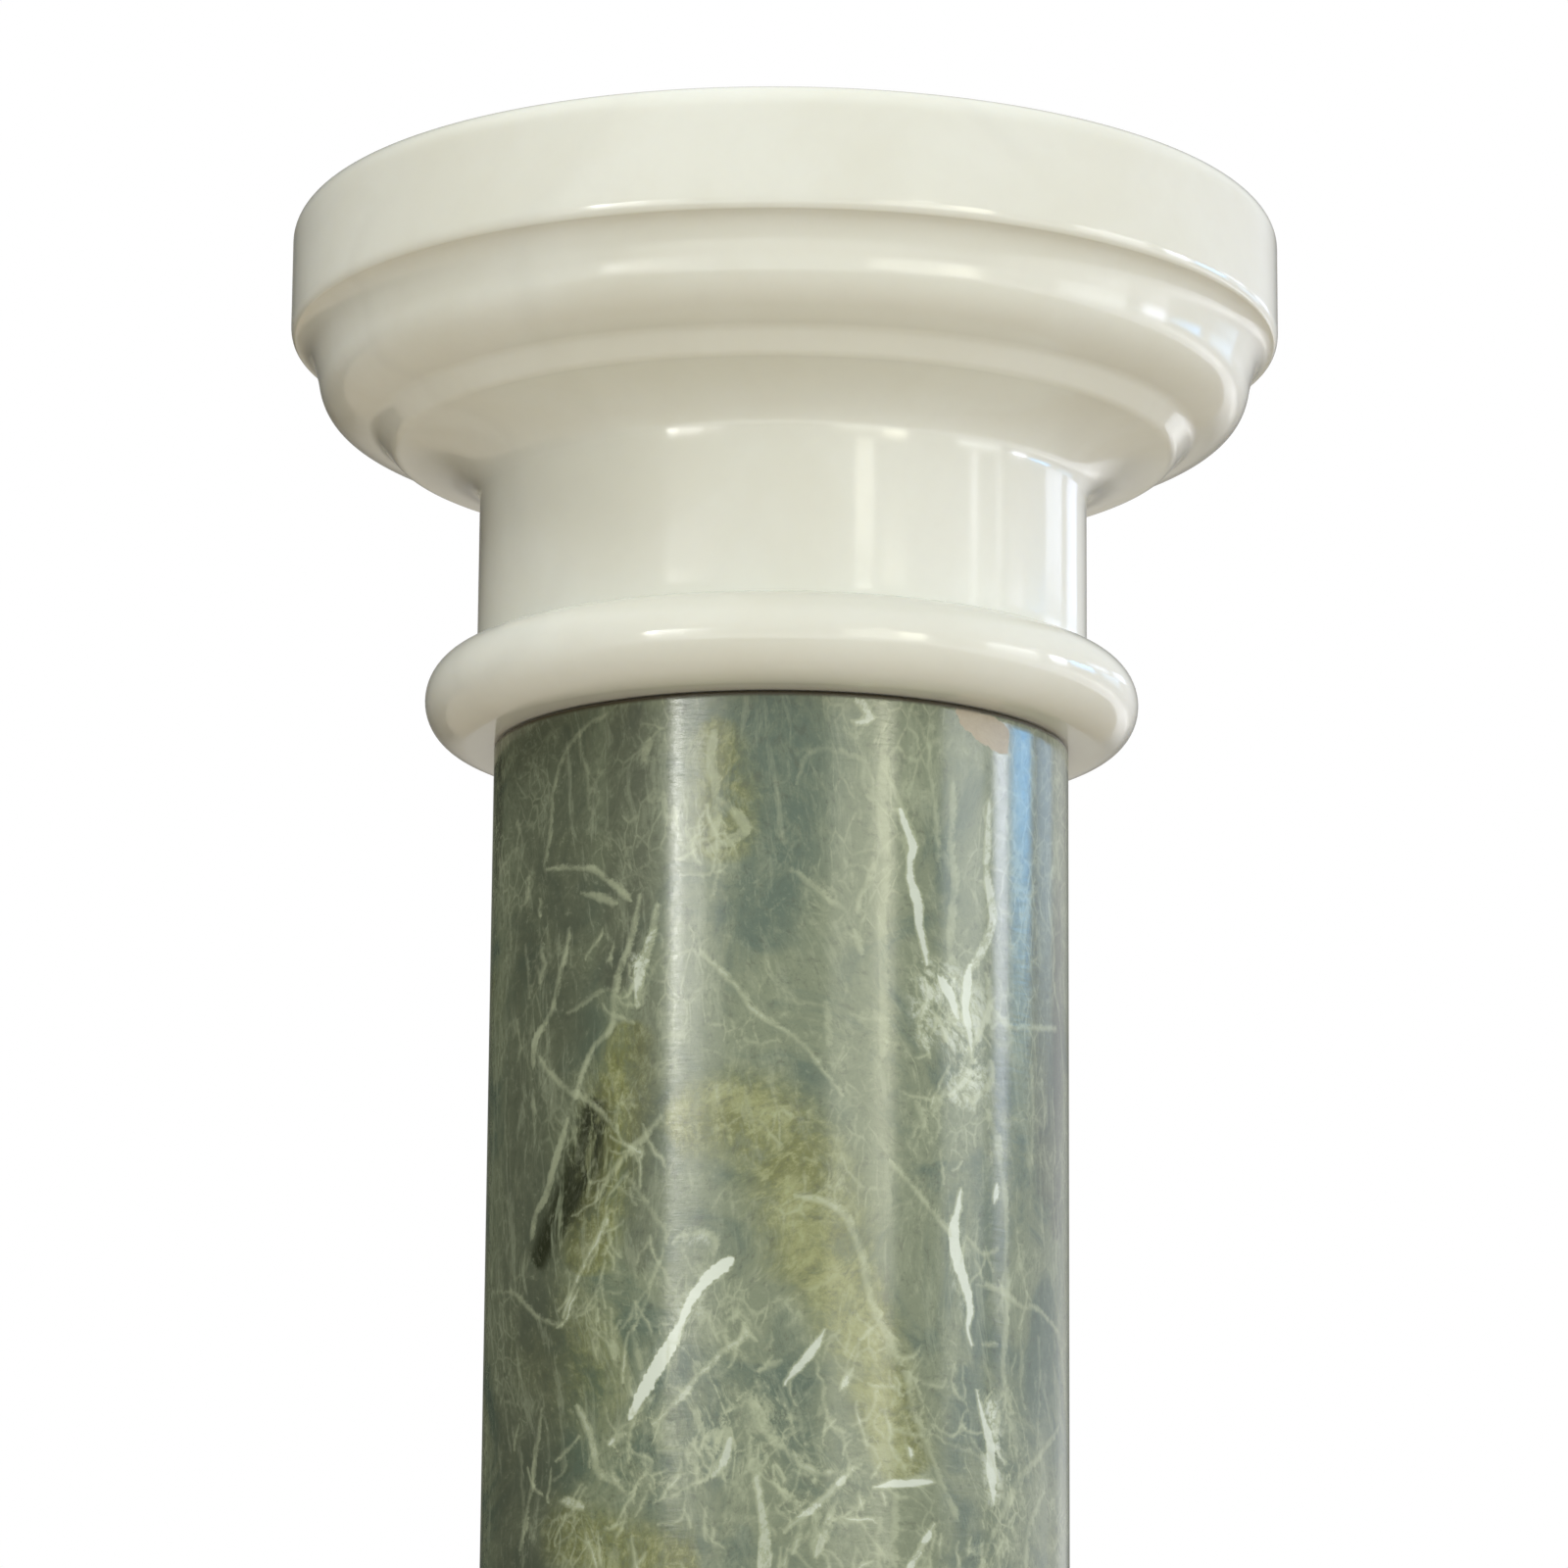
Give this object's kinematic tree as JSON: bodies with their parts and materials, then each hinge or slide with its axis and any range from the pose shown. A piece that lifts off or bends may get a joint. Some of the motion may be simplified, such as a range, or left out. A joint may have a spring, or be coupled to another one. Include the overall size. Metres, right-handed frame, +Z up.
{
  "type": "marble column",
  "caption": "Round marble column: a plain polished green shaft between a turned white capital with a thick disc top, moulded neck and ring, and a turned white base.",
  "frame": {"origin": "centre of the base's underside, on the ground", "axes": "+Z up along the column's axis; the column is round, so X and Y are equal"},
  "size_m": [0.4, 0.4, 2],
  "materials": {
    "white_marble": "polished white marble, faintly cream and green, hardly veined",
    "green_marble": "polished grey-green marble with a web of pale yellow-green veins, a few bold white veins and darker and olive patches"
  },
  "bodies": {
    "root": {"base": "white_marble", "shaft": "green_marble", "capital": "white_marble"}
  },
  "joints": []
}
